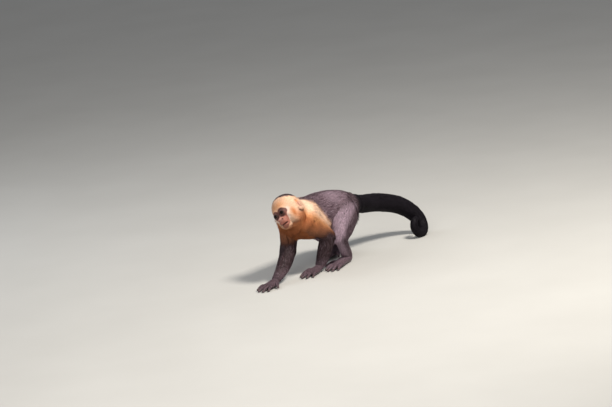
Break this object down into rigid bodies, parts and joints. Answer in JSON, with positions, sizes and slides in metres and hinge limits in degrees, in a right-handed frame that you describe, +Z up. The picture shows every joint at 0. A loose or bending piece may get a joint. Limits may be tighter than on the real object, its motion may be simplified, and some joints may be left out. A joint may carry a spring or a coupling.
{
  "type": "capuchin monkey",
  "caption": "Life-size still model of a white-faced capuchin walking on all fours, head tilted, long tail curled at its tip.",
  "frame": {"origin": "bottom centre of the model's bounding box, on the floor it stands on", "axes": "+Z up, the animal walks towards -Y, its left side is towards +X"},
  "size_m": [0.2, 0.7296, 0.2416],
  "materials": {
    "cream_coat": "cream to warm buff fur",
    "dark_coat": "black-brown fur with a grey sheen",
    "bare_skin": "bare pink skin",
    "dark_skin": "dark skin under short black hair",
    "eye": "wet dark brown eye"
  },
  "bodies": {
    "root": {"head": "cream_coat", "neck": "cream_coat", "chest": "cream_coat", "abdomen": "dark_coat", "rump": "dark_coat", "eye_left": "eye", "ear_left": "bare_skin", "upper_arm_left": "cream_coat", "forearm_left": "dark_coat", "hand_left": "dark_skin", "thumb_left": "dark_skin", "thigh_left": "dark_coat", "shank_left": "dark_coat", "foot_left": "dark_skin", "big_toe_left": "dark_skin", "eye_right": "eye", "ear_right": "bare_skin", "upper_arm_right": "cream_coat", "forearm_right": "dark_coat", "hand_right": "dark_skin", "thumb_right": "dark_skin", "thigh_right": "dark_coat", "shank_right": "dark_coat", "foot_right": "dark_skin", "big_toe_right": "dark_skin", "tail_1": "dark_coat", "tail_2": "dark_coat", "tail_3": "dark_coat", "tail_4": "dark_coat", "tail_5": "dark_coat", "tail_6": "dark_coat", "tail_7": "dark_coat"}
  },
  "joints": []
}
